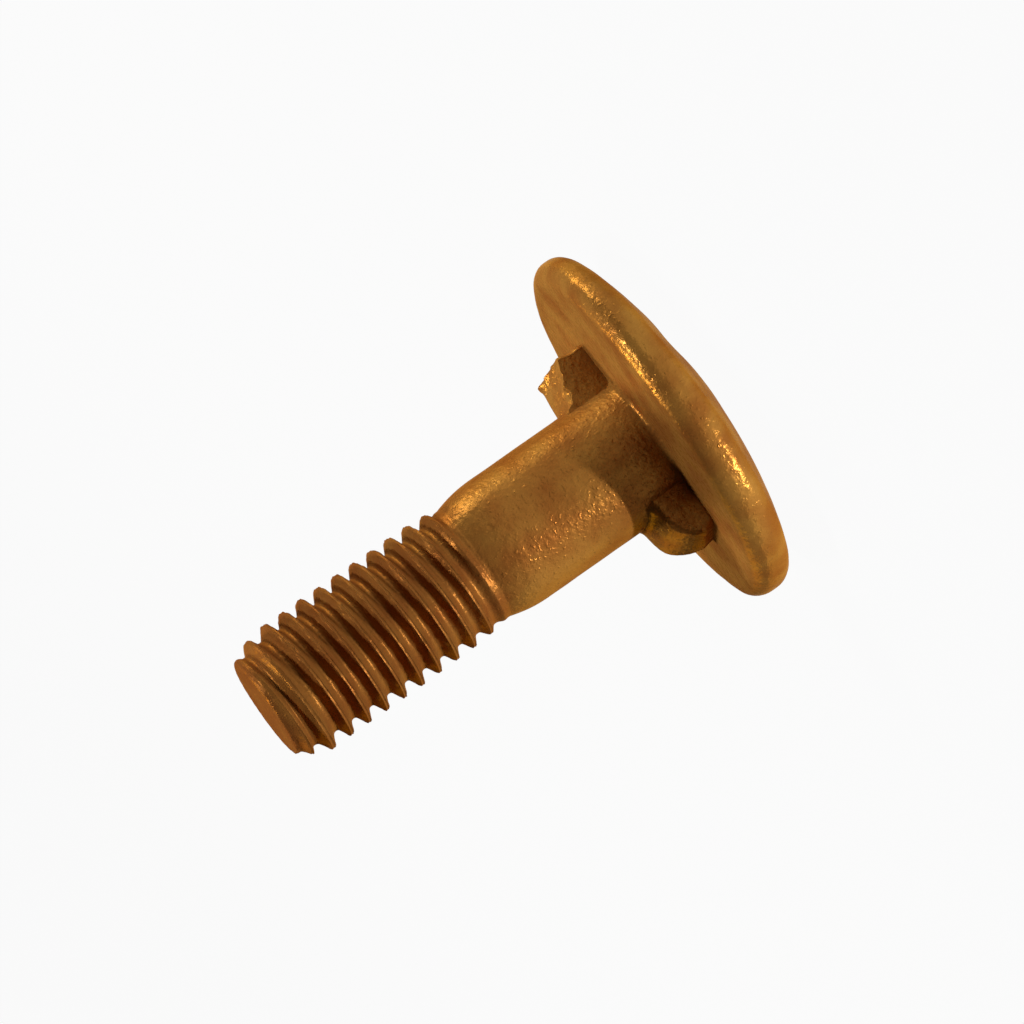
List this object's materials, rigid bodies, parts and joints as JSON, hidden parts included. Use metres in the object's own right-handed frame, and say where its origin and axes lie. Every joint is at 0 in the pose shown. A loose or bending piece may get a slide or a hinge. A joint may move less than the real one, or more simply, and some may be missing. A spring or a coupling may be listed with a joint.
{
  "type": "mower knife bolt",
  "caption": "Short bolt with a domed disc head, anti-turn lugs under the head, a plain shank and a coarse rolled thread, for bolting a knife to a mower's cutting disc.",
  "frame": {"origin": "centre of the head's flat bearing face, on the shank's axis", "axes": "+Z along the shank to the threaded end, +X through the sheared lug, -X through the rounded lug; the bolt stands on the crown of its head"},
  "size_m": [0.0276, 0.0276, 0.0378],
  "materials": {
    "yellow_zinc_steel": "forged and rolled steel, zinc plated and passivated golden brown, slightly rough"
  },
  "bodies": {
    "root": {"bolt": "yellow_zinc_steel"}
  },
  "joints": []
}
